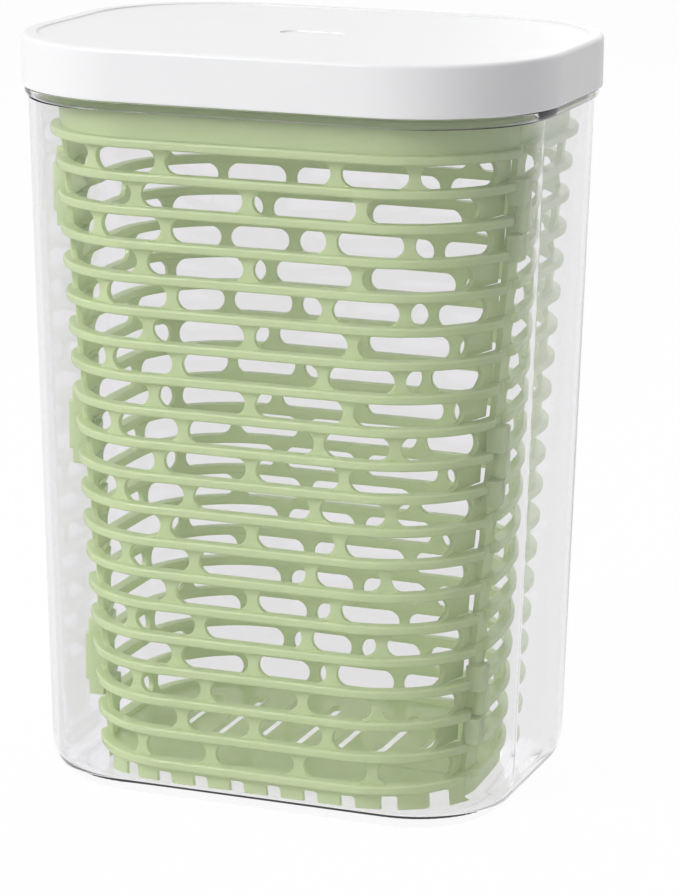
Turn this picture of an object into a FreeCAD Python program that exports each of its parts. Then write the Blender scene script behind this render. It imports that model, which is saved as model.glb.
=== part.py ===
import FreeCAD, Part
import math
import os

# Herb keeper in millimetres: a clear tapered container, a white lid, and a green basket with a hinged door.
# +Z is up, +X to the right along the long side, the door faces -Y, and the origin is under the middle.

# Overall size
KEEPER_LENGTH = 165.1
KEEPER_DEPTH = 121.9
KEEPER_HEIGHT = 228.6

# Lid
LID_HEIGHT = 15.3
LID_CORNER = 44.0
LID_FIT = 0.6
LID_TOP = 2.2
LID_TOP_ROUND = 1.4
LID_FOOT_ROUND = 0.5
PANEL_BORDER = 4.6
PANEL_DEPTH = 0.5
BADGE_LENGTH = 20.0
BADGE_DEPTH = 8.4
BADGE_CORNER = 4.19
BADGE_SINK = 0.5
BADGE_CENTRE_Y = -1.0
PLUG_WALL = 2.4
PLUG_END_GAP = 1.6

# Lid seal, a soft ring in a groove round the plug
SEAL_HEIGHT = 3.2
SEAL_GROOVE = 0.9
SEAL_RISE = 3.4
SEAL_FIT = 0.05
SEAL_ROUND = 0.5

# Container
WALL_TOP_INSET = 3.35
WALL_CORNER = 36.6
WALL_LEAN = 5.62
CONTAINER_WALL = 2.0
FLOOR_THICKNESS = 4.5
BASE_ROUND = 12.8
FLOOR_ROUND = 6.5
SHOULDER_INSET = 0.8
SHOULDER_HEIGHT = 3.2
SHOULDER_ROUND = 2.1
NECK_HEIGHT = 7.2
LID_SEAT_GAP = 0.1

# Basket
BASKET_TOP_GAP = 1.3
BASKET_TOP_HALF_X = 72.0
BASKET_TOP_HALF_Y = 51.7
BASKET_TOP_CORNER = 34.9
BASKET_LEAN_X = 13.2
BASKET_LEAN_Y = 8.3
BASKET_FOOT_CORNER = 30.8
BASKET_WALL = 1.9
BASKET_SEAT_GAP = 0.1
LIP_THICKNESS = 2.4
LIP_GAP = 1.0
FOOT_HEIGHT = 4.6
BASKET_FLOOR = 2.0

# Shelves round the basket, and the slots between them
SHELF_THICKNESS = 2.7
SHELF_PITCH = 9.95
SHELF_REACH = 2.1
TOP_SHELF_REACH = 3.0
SHELF_COUNT = 20
TOP_SHELF_DROP = 11.4
SHELF_END_GAP = 3.2
SHELF_END_ROUND = 1.6
ROUND_LIMIT = 0.8
STRUT_WIDTH = 3.3
STRUT_DRIFT = 0.072
DOOR_COLUMNS = ((-50.0, -27.0, 27.0, 50.0), (-35.4, 0.0, 35.4))
DOOR_SLOT_REACH = (76.0, 69.5)
BODY_COLUMNS = ((-88.0, -50.0, -27.0, 27.0, 50.0, 88.0), (-69.5, -35.4, 0.0, 35.4, 69.5))
BODY_SLOT_END = 6.5
SHORTEST_SLOT = 8.0
CUSP_CUT = 0.25
FOOT_COUNT = 10
FOOT_WIDTH = 7.0
DRAIN_WIDTH = 4.0
DRAIN_PITCH = 13.0
DRAIN_EDGE = 12.0
DRAIN_RIB = 6.0

# Door seam, hinges on the right and latches on the left
SEAM_Y = -20.0
SEAM_GAP = 0.3
STATION_TOP_DROP = 31.0
STATION_PITCH = 73.0
STATION_COUNT = 3
HINGE_LENGTH = 24.0
KNUCKLE_RADIUS = 1.9
PIN_RADIUS = 1.0
PIN_FIT = 0.06
KNUCKLE_GAP = 0.3
HINGE_CLEARANCE = 0.3
BORE_OVERRUN = 1.0
HINGE_ARM = 5.0
LATCH_HEIGHT = 24.0
LATCH_PLATE = 2.8
CATCH_REACH = 3.7
CATCH_PLATE = 2.6
LATCH_LIP_HEIGHT = 15.0
LATCH_LIP = 1.2
LATCH_LIP_LENGTH = 6.4
LATCH_FIT = 0.4

# Heights that follow from these
SHOULDER_TOP = KEEPER_HEIGHT - LID_HEIGHT - LID_SEAT_GAP
SHOULDER_FOOT = SHOULDER_TOP - SHOULDER_HEIGHT
NECK_TOP = SHOULDER_TOP + NECK_HEIGHT
BASKET_TOP = SHOULDER_TOP - BASKET_TOP_GAP
BASKET_FOOT = FLOOR_THICKNESS + BASKET_SEAT_GAP
TOP_SHELF = BASKET_TOP - TOP_SHELF_DROP
SLOT_HEIGHT = SHELF_PITCH - SHELF_THICKNESS
SLACK = 20.0


def between(low, high, share):
    """A value on the straight line from low to high."""
    return low + (high - low) * share


def corners_of(plan):
    """Centres and start angles of an outline's four corners, from the front right, anticlockwise."""
    half_x, half_y, radius = plan
    cx = half_x - radius
    cy = half_y - radius
    return ((cx, -cy, -90), (cx, cy, 0), (-cx, cy, 90), (-cx, -cy, 180))


def outline(plan, z):
    """A closed wire round a rectangle with round corners."""
    radius = plan[2]
    arcs = []
    for cx, cy, start in corners_of(plan):
        points = []
        for turn in (0, 45, 90):
            angle = math.radians(start + turn)
            points.append(FreeCAD.Vector(cx + radius * math.cos(angle), cy + radius * math.sin(angle), z))
        arcs.append(points)
    edges = []
    for index, points in enumerate(arcs):
        edges.append(Part.Arc(*points).toShape())
        following = arcs[(index + 1) % len(arcs)][0]
        if points[2].distanceToPoint(following) > 1e-6:
            edges.append(Part.makeLine(points[2], following))
    return Part.Wire(edges)


def plate(plan, low, high):
    """A straight-sided block on an outline."""
    face = Part.Face(outline(plan, low))
    return face.extrude(FreeCAD.Vector(0, 0, high - low))


def tapered(low_plan, low, high_plan, high):
    """A block that leans evenly from one outline to another."""
    return Part.makeLoft([outline(low_plan, low), outline(high_plan, high)], True, True)


def grown(plan, amount):
    """The outline moved outwards by an amount, or inwards if it is negative."""
    return tuple(value + amount for value in plan)


def box(x0, x1, y0, y1, z0, z1):
    """A block between two corners."""
    return Part.makeBox(x1 - x0, y1 - y0, z1 - z0, FreeCAD.Vector(x0, y0, z0))


def edges_at(shape, height):
    """Every edge that lies at one height."""
    found = []
    for edge in shape.Edges:
        limits = edge.BoundBox
        if abs(limits.ZMin - height) < 1e-4 and abs(limits.ZMax - height) < 1e-4:
            found.append(edge)
    return found


# Outlines of the main pieces
LID_PLAN = (KEEPER_LENGTH / 2, KEEPER_DEPTH / 2, LID_CORNER)
WALL_TOP_PLAN = (KEEPER_LENGTH / 2 - WALL_TOP_INSET, KEEPER_DEPTH / 2 - WALL_TOP_INSET, WALL_CORNER)
WALL_FOOT_PLAN = (WALL_TOP_PLAN[0] - WALL_LEAN, WALL_TOP_PLAN[1] - WALL_LEAN, WALL_CORNER)
BASKET_TOP_PLAN = (BASKET_TOP_HALF_X, BASKET_TOP_HALF_Y, BASKET_TOP_CORNER)
BASKET_FOOT_PLAN = (BASKET_TOP_HALF_X - BASKET_LEAN_X, BASKET_TOP_HALF_Y - BASKET_LEAN_Y, BASKET_FOOT_CORNER)


def container_plan(z):
    """Outside of the container's wall at one height, which is plumb above the shoulder's foot."""
    share = min(z / SHOULDER_FOOT, 1.0)
    return tuple(between(low, high, share) for low, high in zip(WALL_FOOT_PLAN, WALL_TOP_PLAN))


def basket_plan(z):
    """Outside of the basket's wall at one height."""
    share = (z - BASKET_FOOT) / (BASKET_TOP - BASKET_FOOT)
    return tuple(between(low, high, share) for low, high in zip(BASKET_FOOT_PLAN, BASKET_TOP_PLAN))


def shelf_heights():
    """Middle height of each shelf, from the top one down."""
    return [TOP_SHELF - SHELF_PITCH * index for index in range(SHELF_COUNT)]


def make_container():
    """Clear vessel: tapered wall, thick rounded base, shoulder under the lid and a neck inside it."""
    body = tapered(WALL_FOOT_PLAN, 0, WALL_TOP_PLAN, SHOULDER_FOOT)
    body = body.makeFillet(BASE_ROUND, edges_at(body, 0))
    neck = plate(WALL_TOP_PLAN, SHOULDER_FOOT, NECK_TOP)
    shoulder = plate(grown(LID_PLAN, -SHOULDER_INSET), SHOULDER_FOOT, SHOULDER_TOP)
    shoulder = shoulder.makeFillet(SHOULDER_ROUND, edges_at(shoulder, SHOULDER_FOOT))
    body = body.multiFuse([neck, shoulder])
    inner_foot = grown(container_plan(FLOOR_THICKNESS), -CONTAINER_WALL)
    inner_top = grown(WALL_TOP_PLAN, -CONTAINER_WALL)
    hollow = tapered(inner_foot, FLOOR_THICKNESS, inner_top, SHOULDER_FOOT)
    hollow = hollow.makeFillet(FLOOR_ROUND, edges_at(hollow, FLOOR_THICKNESS))
    mouth = plate(inner_top, SHOULDER_FOOT, NECK_TOP + SLACK)
    return body.cut(hollow.fuse(mouth)).removeSplitter()


def plug_plan():
    """Outside of the lid's plug, which leaves room for the seal in the container's neck."""
    return grown(WALL_TOP_PLAN, -CONTAINER_WALL - SEAL_FIT - SEAL_GROOVE)


def make_lid():
    """White cap with a sunk top panel, a bare badge recess and a plug that goes into the neck."""
    foot = SHOULDER_TOP + LID_SEAT_GAP
    cap = plate(LID_PLAN, foot, KEEPER_HEIGHT)
    cap = cap.makeFillet(LID_TOP_ROUND, edges_at(cap, KEEPER_HEIGHT))
    cap = cap.makeFillet(LID_FOOT_ROUND, edges_at(cap, foot))
    ceiling = KEEPER_HEIGHT - PANEL_DEPTH - LID_TOP
    cavity = plate(grown(WALL_TOP_PLAN, LID_FIT), foot - SLACK, ceiling)
    panel = plate(grown(LID_PLAN, -PANEL_BORDER), KEEPER_HEIGHT - PANEL_DEPTH, KEEPER_HEIGHT + SLACK)
    badge_floor = KEEPER_HEIGHT - PANEL_DEPTH - BADGE_SINK
    badge = plate((BADGE_LENGTH / 2, BADGE_DEPTH / 2, BADGE_CORNER), badge_floor, KEEPER_HEIGHT + SLACK)
    badge.translate(FreeCAD.Vector(0, BADGE_CENTRE_Y, 0))
    plug_foot = BASKET_TOP + PLUG_END_GAP
    plug = plate(plug_plan(), plug_foot, ceiling + LID_TOP / 2)
    plug_inside = plate(grown(plug_plan(), -PLUG_WALL), plug_foot - SLACK, ceiling)
    groove_ring = plate(grown(plug_plan(), SLACK), seal_foot(), seal_foot() + SEAL_HEIGHT)
    groove_core = plate(grown(plug_plan(), -SEAL_GROOVE), seal_foot(), seal_foot() + SEAL_HEIGHT)
    plug = plug.cut(plug_inside).cut(groove_ring.cut(groove_core))
    return cap.cut(cavity).cut(panel).cut(badge).fuse(plug).removeSplitter()


def seal_foot():
    """Height of the seal's lower face."""
    return BASKET_TOP + PLUG_END_GAP + SEAL_RISE


def make_lid_seal():
    """Soft ring that fills the groove and bears on the inside of the neck."""
    reach = grown(plug_plan(), SEAL_GROOVE)
    ring = plate(reach, seal_foot(), seal_foot() + SEAL_HEIGHT)
    ring = ring.makeFillet(SEAL_ROUND, edges_at(ring, seal_foot()) + edges_at(ring, seal_foot() + SEAL_HEIGHT))
    core = plate(grown(plug_plan(), -SEAL_GROOVE), seal_foot() - SLACK, seal_foot() + SLACK)
    return ring.cut(core)


def place_on(plan, distance):
    """Point and outward direction at a distance along an outline, from the middle of its front."""
    half_x, half_y, radius = plan
    side = math.copysign(1, distance)
    run = abs(distance)
    flat = half_x - radius
    bend = radius * math.pi / 2
    if run <= flat:
        return side * run, -half_y, 0.0, -1.0
    if run <= flat + bend:
        angle = (run - flat) / radius
        x = flat + radius * math.sin(angle)
        y = -(half_y - radius) - radius * math.cos(angle)
        return side * x, y, side * math.sin(angle), -math.cos(angle)
    return side * half_x, -(half_y - radius) + run - flat - bend, side, 0.0


def length_to(plan, y):
    """Distance along an outline from the middle of its front to a place on its side or corner."""
    half_x, half_y, radius = plan
    flat = half_x - radius
    if y <= -(half_y - radius):
        return flat + radius * math.acos((-(half_y - radius) - y) / radius)
    return flat + radius * math.pi / 2 + y + half_y - radius


def local_frame(plan, distance, z):
    """Turns points given along the wall, outwards and up into the part's own frame."""
    x, y, out_x, out_y = place_on(plan, distance)

    def point(along, outward, up):
        return FreeCAD.Vector(x + out_x * outward - out_y * along, y + out_y * outward + out_x * along, z + up)
    return point


def strut(plan, distance, low, high):
    """A web between two shelves, waisted by the round ends of the slots beside it."""
    radius = (high - low) / 2
    point = local_frame(plan, distance, (low + high) / 2)
    half = STRUT_WIDTH / 2
    wide = half + radius * (1 - CUSP_CUT)
    rise = radius * math.sqrt(1 - CUSP_CUT ** 2)
    depth = -2 * BASKET_WALL
    edges = []
    for side in (1, -1):
        foot = point(side * wide, depth, -rise)
        waist = point(side * half, depth, 0)
        head = point(side * wide, depth, rise)
        edges.append(Part.Arc(foot, waist, head).toShape())
        for up, end in ((-radius, foot), (radius, head)):
            edges.append(Part.makeLine(end, point(side * wide, depth, up)))
    for up in (-radius, radius):
        edges.append(Part.makeLine(point(-wide, depth, up), point(wide, depth, up)))
    face = Part.Face(Part.Wire(Part.__sortEdges__(edges)))
    return face.extrude(point(0, -2 * depth, 0) - point(0, 0, 0))


def end_block(plan, distance, low, high):
    """Block that keeps the wall beyond the last slot, and the round end that the slot takes from it."""
    side = math.copysign(1, distance)
    radius = (high - low) / 2
    start = distance - side * radius * (1 - CUSP_CUT)
    point = local_frame(plan, start, low)
    corners = []
    for along, outward in ((0, BASKET_WALL * 2), (SLACK * 2, BASKET_WALL * 2), (SLACK * 2, -SLACK), (0, -SLACK)):
        corners.append(point(side * along, outward, 0))
    wire = Part.makePolygon(corners + corners[:1])
    block = Part.Face(wire).extrude(FreeCAD.Vector(0, 0, high - low))
    point = local_frame(plan, distance - side * radius, (low + high) / 2)
    axis = point(0, 1, 0) - point(0, 0, 0)
    return block.cut(Part.makeCylinder(radius, 6 * BASKET_WALL, point(0, -3 * BASKET_WALL, 0), axis))


def turned(tools):
    """The same blocks turned half a turn about the middle, so that they serve the back."""
    copies = []
    for tool in tools:
        copy = tool.copy()
        copy.rotate(FreeCAD.Vector(0, 0, 0), FreeCAD.Vector(0, 0, 1), 180)
        copies.append(copy)
    return copies


def row_limits(row):
    """Lowest and highest point of the slots in a row, between two shelves."""
    heights = shelf_heights()
    return heights[row + 1] + SHELF_THICKNESS / 2, heights[row] - SHELF_THICKNESS / 2


def row_keepers(side, row):
    """The struts of one row and the blocks at its ends, in the door or in the basket behind it."""
    low, high = row_limits(row)
    plan = basket_plan((low + high) / 2)
    drift = STRUT_DRIFT * SHELF_PITCH * row
    if side == "door":
        columns = DOOR_COLUMNS[row % 2]
        reach = DOOR_SLOT_REACH[row % 2] - drift
    else:
        columns = BODY_COLUMNS[row % 2]
        reach = length_to(plan, -SEAM_Y) - BODY_SLOT_END
    keepers = [end_block(plan, reach, low, high), end_block(plan, -reach, low, high)]
    for column in columns:
        place = column - math.copysign(drift, column) if column else 0.0
        if reach - abs(place) > SHORTEST_SLOT + STRUT_WIDTH / 2:
            keepers.append(strut(plan, place, low, high))
    return keepers if side == "door" else turned(keepers)


def foot_windows():
    """Openings under the basket's floor that leave short feet."""
    tools = []
    plan = basket_plan(BASKET_FOOT)
    half = plan[0] / FOOT_COUNT - FOOT_WIDTH / 2
    reach = plan[1] + SLACK
    for index in range(FOOT_COUNT):
        x = between(-plan[0], plan[0], (index + 0.5) / FOOT_COUNT)
        tools.append(box(x - half, x + half, -reach, reach, BASKET_FOOT - SLACK, BASKET_FOOT + FOOT_HEIGHT))
    return tools


def drain_tools():
    """Long holes through the basket's floor."""
    tools = []
    low = BASKET_FOOT + FOOT_HEIGHT - SLACK
    high = low + 2 * SLACK + BASKET_FLOOR
    plan = grown(basket_plan(BASKET_FOOT), -BASKET_WALL - DRAIN_EDGE)
    keep = plate(plan, low, high)
    count = int(plan[0] / DRAIN_PITCH)
    for index in range(-count, count + 1):
        x = index * DRAIN_PITCH
        for y0, y1 in ((-plan[1], SEAM_Y - DRAIN_RIB), (SEAM_Y + DRAIN_RIB, plan[1])):
            hole = box(x - DRAIN_WIDTH / 2, x + DRAIN_WIDTH / 2, y0, y1, low, high)
            tools.append(hole.common(keep))
    return tools


def half_space(side):
    """All the space on the door's side of the seam, or on the other side."""
    reach = KEEPER_LENGTH
    if side == "door":
        return box(-reach, reach, -reach, SEAM_Y - SEAM_GAP / 2, -reach, 2 * KEEPER_HEIGHT)
    return box(-reach, reach, SEAM_Y + SEAM_GAP / 2, reach, -reach, 2 * KEEPER_HEIGHT)


def hollow_between(low, high):
    """The space inside the basket's wall from one height to another."""
    inner_low = grown(basket_plan(low), -BASKET_WALL)
    inner_high = grown(basket_plan(high), -BASKET_WALL)
    return tapered(inner_low, low, inner_high, high)


def make_shelf(side, middle, reach):
    """One shelf with round ends that stop short of the seam, and the wall behind it."""
    low = middle - SHELF_THICKNESS / 2
    high = middle + SHELF_THICKNESS / 2
    shelf = plate(grown(basket_plan(middle), reach), low, high)
    far = KEEPER_LENGTH
    if side == "door":
        end = SEAM_Y - SHELF_END_GAP
        shelf = shelf.common(box(-far, far, -far, end, low, high))
    else:
        end = SEAM_Y + SHELF_END_GAP
        shelf = shelf.common(box(-far, far, end, far, low, high))
    corners = []
    for edge in shelf.Edges:
        upright = abs(edge.BoundBox.ZLength - SHELF_THICKNESS) < 1e-4
        if upright and abs(edge.BoundBox.Center.y - end) < 1e-4:
            corners.append(edge)
    shelf = shelf.makeFillet(min(SHELF_END_ROUND, reach * ROUND_LIMIT), corners)
    wall = tapered(basket_plan(low), low, basket_plan(high), high).common(half_space(side))
    return shelf.fuse(wall).cut(hollow_between(low, high))


def make_wall(side, low, high):
    """A plain stretch of the wall between two heights."""
    wall = tapered(basket_plan(low), low, basket_plan(high), high).cut(hollow_between(low, high))
    return wall.common(half_space(side))


def make_row(side, row):
    """The struts between two shelves and the plain wall beside the seam."""
    return make_wall(side, *row_limits(row)).common(Part.makeCompound(row_keepers(side, row)))


def make_lip(side):
    """Flange round the basket's top that keeps it in the middle of the container."""
    low = BASKET_TOP - LIP_THICKNESS
    lip = plate(grown(WALL_TOP_PLAN, -CONTAINER_WALL - LIP_GAP), low, BASKET_TOP)
    return lip.cut(hollow_between(low, BASKET_TOP)).common(half_space(side))


def make_floor(side):
    """Flat floor with long drain holes."""
    low = BASKET_FOOT + FOOT_HEIGHT
    high = low + BASKET_FLOOR
    slab = plate(grown(basket_plan(low), -BASKET_WALL / 2), low, high)
    return slab.common(half_space(side)).cut(drain_tools())


def make_shell(side):
    """Wall, shelves, lip and floor of the door or of the basket behind it."""
    heights = shelf_heights()
    parts = []
    for index, middle in enumerate(heights):
        parts.append(make_shelf(side, middle, TOP_SHELF_REACH if index == 0 else SHELF_REACH))
    for row in range(SHELF_COUNT - 1):
        parts.append(make_row(side, row))
    parts.append(make_wall(side, heights[0] + SHELF_THICKNESS / 2, BASKET_TOP))
    parts.append(make_wall(side, BASKET_FOOT, heights[-1] - SHELF_THICKNESS / 2).cut(foot_windows()))
    parts.append(make_lip(side))
    parts.append(make_floor(side))
    return parts[0].multiFuse(parts[1:])


def stations():
    """Heights of the hinges and latches."""
    return [BASKET_TOP - STATION_TOP_DROP - STATION_PITCH * index for index in range(STATION_COUNT)]


def side_x(z):
    """The basket wall's outside where the seam crosses it, on the right."""
    plan = basket_plan(z)
    x, _, _, _ = place_on(plan, length_to(plan, SEAM_Y))
    return x


def hinge_axis():
    """Foot and direction of the hinge line, which leans with the wall."""
    low = stations()[-1]
    high = stations()[0]
    standoff = KNUCKLE_RADIUS + HINGE_CLEARANCE
    foot = FreeCAD.Vector(side_x(low) + standoff, SEAM_Y, low)
    top = FreeCAD.Vector(side_x(high) + standoff, SEAM_Y, high)
    return foot, (top - foot).normalize()


def on_hinge(z, offset=0.0):
    """The point of the hinge line at a height, moved along the line."""
    foot, direction = hinge_axis()
    return foot + direction * ((z - foot.z) / direction.z + offset)


def knuckle(z, start, length, radius):
    """A round barrel on the hinge line."""
    return Part.makeCylinder(radius, length, on_hinge(z, start), hinge_axis()[1])


def hinge_arm(z, start, length, side):
    """Web that joins a barrel to the wall on one side of the seam."""
    away = -1 if side == "door" else 1
    point = on_hinge(z, start)
    width = KNUCKLE_RADIUS - SEAM_GAP / 2
    y0 = SEAM_Y + away * SEAM_GAP / 2
    y1 = SEAM_Y + away * HINGE_ARM
    x0 = side_x(z) - BASKET_WALL / 2
    return box(x0, point.x + width, min(y0, y1), max(y0, y1), point.z, point.z + length * hinge_axis()[1].z)


def hinge_parts(side):
    """Barrels, webs and pins of the three hinges on one side of the seam."""
    parts = []
    holes = []
    third = HINGE_LENGTH / 3
    for z in stations():
        if side == "door":
            for start in (-1.5 * third, 0.5 * third + KNUCKLE_GAP):
                length = third - KNUCKLE_GAP
                parts.append(knuckle(z, start, length, KNUCKLE_RADIUS))
                parts.append(hinge_arm(z, start, length, side))
            length = HINGE_LENGTH + 2 * BORE_OVERRUN
            holes.append(knuckle(z, -length / 2, length, PIN_RADIUS + PIN_FIT))
        else:
            parts.append(knuckle(z, -0.5 * third, third, KNUCKLE_RADIUS))
            parts.append(hinge_arm(z, -0.5 * third, third, side))
            parts.append(knuckle(z, -1.5 * third, HINGE_LENGTH, PIN_RADIUS))
    return parts, holes


def latch_parts(side):
    """Tabs on the left of the seam: the door's plate carries a lip that passes over the basket's catch."""
    parts = []
    for z in stations():
        wall = -side_x(z) + BASKET_WALL / 2
        low = z - LATCH_HEIGHT / 2
        catch = -side_x(z) - CATCH_REACH
        near = catch - LATCH_FIT
        if side == "door":
            y1 = SEAM_Y - SEAM_GAP / 2
            y0 = y1 - LATCH_PLATE
            lip_low = z - LATCH_LIP_HEIGHT / 2
            lip_high = lip_low + LATCH_LIP_HEIGHT
            parts.append(box(near, wall, y0, y1, low, low + LATCH_HEIGHT))
            parts.append(box(near - LATCH_LIP, near + LATCH_LIP, y0, y1, lip_low, lip_high))
            parts.append(box(near - LATCH_LIP, near, y0, y0 + LATCH_LIP_LENGTH, lip_low, lip_high))
        else:
            y0 = SEAM_Y + SEAM_GAP / 2
            parts.append(box(catch, wall, y0, y0 + CATCH_PLATE, low, low + LATCH_HEIGHT))
    return parts


def make_basket_piece(side):
    """The door, or the basket behind it, with its hinges and latches."""
    shell = make_shell(side)
    parts, holes = hinge_parts(side)
    inside = hollow_between(BASKET_FOOT, BASKET_TOP)
    trimmed = [part.cut(inside) for part in latch_parts(side)]
    shell = shell.multiFuse(parts + trimmed)
    return shell.cut(holes) if holes else shell


def save(name, shape):
    """Writes one piece and prints how many solids it has."""
    shape = shape.removeSplitter()
    solid = shape.Solids[0] if len(shape.Solids) == 1 else Part.makeCompound(shape.Solids)
    solid.exportStep(os.path.join("parts", name + ".step"))
    print(name, len(shape.Solids), "solid", round(shape.Volume, 1), "mm3, valid", shape.isValid())


os.makedirs("parts", exist_ok=True)
save("container", make_container())
save("lid", make_lid())
save("lid_seal", make_lid_seal())
save("basket", make_basket_piece("basket"))
save("basket_door", make_basket_piece("door"))
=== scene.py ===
import math

import bmesh
import bpy
import numpy as np
from mathutils import Matrix, Vector


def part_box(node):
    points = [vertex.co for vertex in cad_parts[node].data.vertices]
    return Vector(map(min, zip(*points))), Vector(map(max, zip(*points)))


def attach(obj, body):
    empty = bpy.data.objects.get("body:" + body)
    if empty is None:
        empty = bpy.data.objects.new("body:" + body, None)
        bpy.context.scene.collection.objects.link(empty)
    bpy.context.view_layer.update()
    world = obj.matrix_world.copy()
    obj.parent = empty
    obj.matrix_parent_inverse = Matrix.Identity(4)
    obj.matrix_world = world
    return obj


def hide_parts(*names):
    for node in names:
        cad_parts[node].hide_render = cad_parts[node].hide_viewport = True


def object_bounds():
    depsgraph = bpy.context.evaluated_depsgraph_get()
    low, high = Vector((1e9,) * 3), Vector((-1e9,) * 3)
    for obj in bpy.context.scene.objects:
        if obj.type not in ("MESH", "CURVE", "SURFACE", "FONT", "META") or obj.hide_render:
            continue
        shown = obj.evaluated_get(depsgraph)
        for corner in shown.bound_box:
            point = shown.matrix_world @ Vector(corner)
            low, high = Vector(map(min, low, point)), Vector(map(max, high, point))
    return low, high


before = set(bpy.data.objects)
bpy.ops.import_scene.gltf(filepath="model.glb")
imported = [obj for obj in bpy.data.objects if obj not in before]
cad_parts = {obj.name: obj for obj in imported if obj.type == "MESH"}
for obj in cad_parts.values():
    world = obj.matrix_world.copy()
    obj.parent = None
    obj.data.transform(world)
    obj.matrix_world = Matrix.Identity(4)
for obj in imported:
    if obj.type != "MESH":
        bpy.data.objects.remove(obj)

# Looks for the herb keeper. Shapes are drawn in millimetres in the frame's own axes,
# and made metres at the end.
CAD_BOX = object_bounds()
MM = 0.001

# Camera: where it stands about a point in the middle of the keeper, and where the picture's centre falls
PICTURE_WIDTH = 679
PICTURE_HEIGHT = 894
CAMERA_AZIMUTH = 21.109
CAMERA_ELEVATION = 13.190
CAMERA_DISTANCE = 1.07593
CAMERA_ROLL = 0.372
CAMERA_TARGET = Vector((0.0, 0.0, 0.1143))
FOCAL_PIXELS = 3553.7
AXIS_X = 310.63
AXIS_Y = 407.42
SENSOR = 36.0

# Sizes read from the frame
HIGH = CAD_BOX[1]
KEEPER_HALF_X = HIGH.x / MM
KEEPER_HALF_Y = HIGH.y / MM
KEEPER_TOP = HIGH.z / MM
BASKET_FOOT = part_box("basket")[0].z / MM
BASKET_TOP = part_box("basket")[1].z / MM
NECK_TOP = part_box("container")[1].z / MM
LID_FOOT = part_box("lid")[0].z / MM
SEAL_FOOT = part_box("lid_seal")[0].z / MM
SEAL_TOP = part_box("lid_seal")[1].z / MM

# Lid
LID_PLAN = (KEEPER_HALF_X, KEEPER_HALF_Y, 44.0)
LID_FIT = 0.6
LID_CEILING = KEEPER_TOP - 2.7
LID_TOP_ROUND = 1.4
LID_FOOT_ROUND = 0.5
PANEL_BORDER = 4.6
PANEL_FILLET = 0.25
RIM_EDGE = 0.2
PLUG_EDGE = 0.3
PLUG_FIT = 0.05
PANEL_DEPTH = 0.5
BADGE_HALF = (10.0, 4.2)
BADGE_Y = -1.0
BADGE_SECTION = ((-0.25, -0.5), (-0.07, -0.43), (0.0, -0.25), (0.05, -0.08), (0.2, 0.05), (0.2, 2.0))
PLUG_WALL = 2.4
PLUG_FOOT = BASKET_TOP + 1.6
SEAL_GROOVE = 0.9

# Container
WALL_TOP_PLAN = (KEEPER_HALF_X - 3.35, KEEPER_HALF_Y - 3.35, 36.6)
WALL_LEAN = 5.62
CONTAINER_WALL = 2.0
FLOOR_THICKNESS = 4.5
BASE_ROUND = 12.8
FLOOR_ROUND = 6.5
SHOULDER_TOP = LID_FOOT - 0.1
SHOULDER_FOOT = SHOULDER_TOP - 3.2
SHOULDER_ROUND = 2.1
SHOULDER_INSET = 0.8
SHOULDER_EDGE = 0.4
NECK_ROUND = 0.7

# Basket wall, shelves and struts
BASKET_TOP_PLAN = (72.0, 51.7, 34.9)
BASKET_FOOT_PLAN = (58.8, 43.4, 30.8)
BASKET_WALL = 1.9
LIP_PLAN = (WALL_TOP_PLAN[0] - 3.0, WALL_TOP_PLAN[1] - 3.0, WALL_TOP_PLAN[2] - 3.0)
LIP_THICKNESS = 2.4
LIP_EDGE = 0.6
FLOOR_LOW = BASKET_FOOT + 4.6
BASKET_FLOOR = 2.0
SHELF_THICKNESS = 2.7
SHELF_EDGE = 0.7
SHELF_PITCH = 9.95
SHELF_REACH = 2.1
TOP_SHELF_REACH = 3.0
SHELF_COUNT = 20
TOP_SHELF = BASKET_TOP - 11.4
ROW_COUNT = SHELF_COUNT - 1
SLOT_RADIUS = (SHELF_PITCH - SHELF_THICKNESS) / 2
SHELF_END_GAP = 3.2
SHELF_END_ROUND = 2.0
STRUT_HALF = 1.65
STRUT_EDGE = 0.35
STRUT_EDGE_SHARE = 0.3
DOOR_END_LENGTH = 30.0
BODY_END_LENGTH = 12.0
WAIST_TURN = 75.5
WAIST_STEPS = 6
STRUT_DRIFT = 0.072 * SHELF_PITCH
OVERLAP = 0.35
DOOR_COLUMNS = ((-50.0, -27.0, 27.0, 50.0), (-35.4, 0.0, 35.4))
DOOR_SLOT_REACH = (76.0, 69.5)
BODY_COLUMNS = ((-88.0, -50.0, -27.0, 27.0, 50.0, 88.0), (-69.5, -35.4, 0.0, 35.4, 69.5))
BODY_SLOT_END = 6.5
SEAM_Y = -20.0
SEAM_HALF_GAP = 0.15
FOOT_COUNT = 10
FOOT_WIDTH = 7.0
DRAIN_WIDTH = 4.0
DRAIN_PITCH = 13.0
DRAIN_EDGE = 12.0
DRAIN_RIB = 6.0
DRAIN_OVERRUN = 1.5
WINDOW_EDGE = 0.8
WINDOW_DROP = 5.0

# Hinges and latches
STATION_TOP = BASKET_TOP - 31.0
STATION_PITCH = 73.0
STATION_COUNT = 3
HINGE_LENGTH = 24.0
KNUCKLE_RADIUS = 1.9
KNUCKLE_EDGE = 0.3
PIN_RADIUS = 1.0
PIN_EDGE = 0.2
BORE_OVERRUN = 1.0
WEB_EDGE = 0.25
PIN_FIT = 0.06
KNUCKLE_GAP = 0.3
HINGE_STANDOFF = 2.2
HINGE_ARM = 5.0
LATCH_HEIGHT = 24.0
LATCH_PLATE = 2.8
CATCH_REACH = 3.7
CATCH_PLATE = 2.6
LATCH_LIP_HEIGHT = 15.0
LATCH_LIP = 1.2
LATCH_LIP_LENGTH = 6.4
LATCH_FIT = 0.4
LATCH_EDGE = 0.35

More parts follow.
